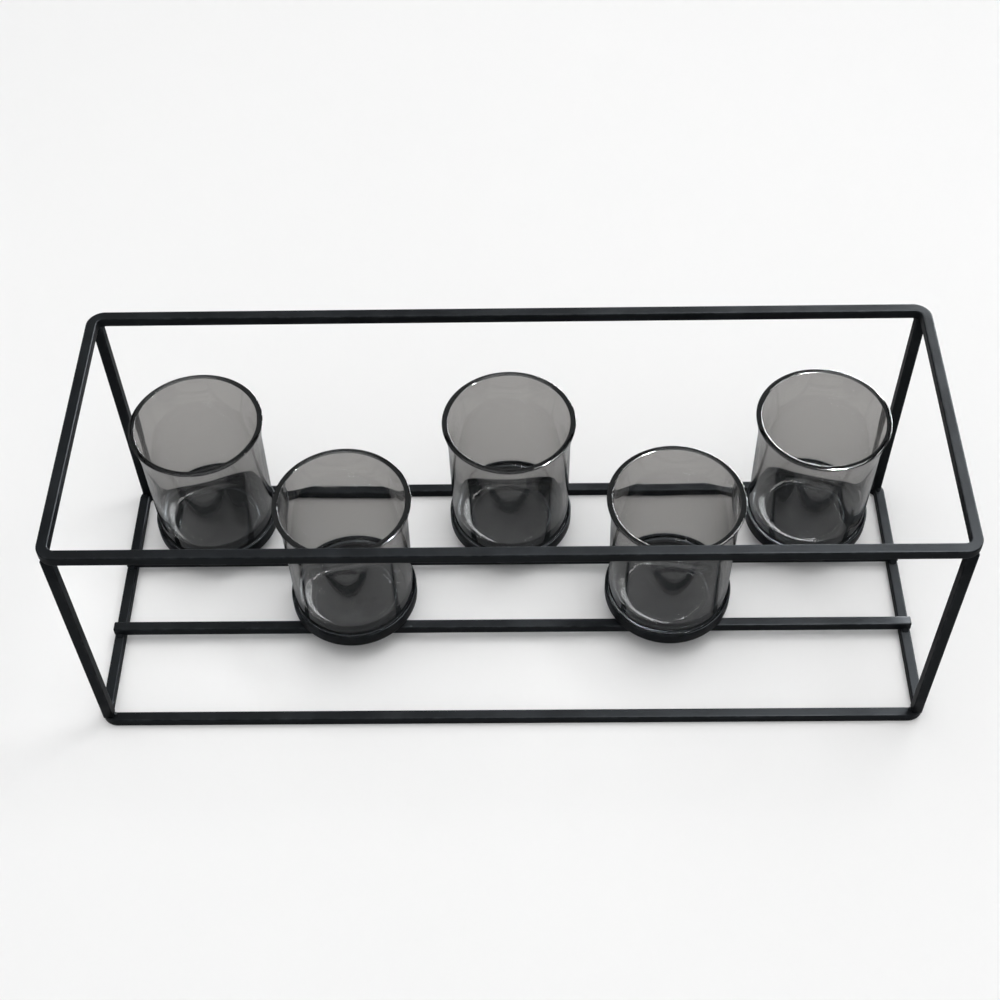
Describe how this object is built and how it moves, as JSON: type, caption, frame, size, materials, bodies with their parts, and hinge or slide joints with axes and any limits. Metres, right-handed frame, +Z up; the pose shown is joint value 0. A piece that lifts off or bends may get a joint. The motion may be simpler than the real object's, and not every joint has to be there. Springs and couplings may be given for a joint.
{
  "type": "votive candle rack",
  "caption": "Open rectangular frame of black square bar with small lipped dishes on two rails, each holding a loose smoked-glass votive cup, in two staggered rows.",
  "frame": {"origin": "middle of the whole object's footprint, on the surface it stands on", "axes": "+X along the rack, +Y to the rear (the row of three cups), +Z up; the front, with the row of two cups, faces -Y"},
  "size_m": [0.4, 0.152, 0.138],
  "materials": {
    "black_coat": "satin black powder coat on square steel bar and pressed sheet",
    "smoked_glass": "clear smoke-grey pressed glass, glossy"
  },
  "bodies": {
    "frame": {"top_ring": "black_coat", "bottom_ring": "black_coat", "post_front_left": "black_coat", "post_front_right": "black_coat", "post_rear_left": "black_coat", "post_rear_right": "black_coat", "front_rail": "black_coat", "rear_rail": "black_coat", "dish_rear_left": "black_coat", "dish_front_left": "black_coat", "dish_rear_centre": "black_coat", "dish_front_right": "black_coat", "dish_rear_right": "black_coat", "post_welds": "black_coat", "rail_welds": "black_coat", "dish_welds": "black_coat"},
    "cup_rear_left": {"cup_rear_left": "smoked_glass"},
    "cup_front_left": {"cup_front_left": "smoked_glass"},
    "cup_rear_centre": {"cup_rear_centre": "smoked_glass"},
    "cup_front_right": {"cup_front_right": "smoked_glass"},
    "cup_rear_right": {"cup_rear_right": "smoked_glass"}
  },
  "joints": [
    {"name": "lift_cup_rear_left", "type": "slide", "parent": "frame", "child": "cup_rear_left", "axis": [0, 0, 1], "range_m": [0, 0.044]},
    {"name": "lift_cup_front_left", "type": "slide", "parent": "frame", "child": "cup_front_left", "axis": [0, 0, 1], "range_m": [0, 0.15]},
    {"name": "lift_cup_rear_centre", "type": "slide", "parent": "frame", "child": "cup_rear_centre", "axis": [0, 0, 1], "range_m": [0, 0.044]},
    {"name": "lift_cup_front_right", "type": "slide", "parent": "frame", "child": "cup_front_right", "axis": [0, 0, 1], "range_m": [0, 0.15]},
    {"name": "lift_cup_rear_right", "type": "slide", "parent": "frame", "child": "cup_rear_right", "axis": [0, 0, 1], "range_m": [0, 0.044]}
  ]
}
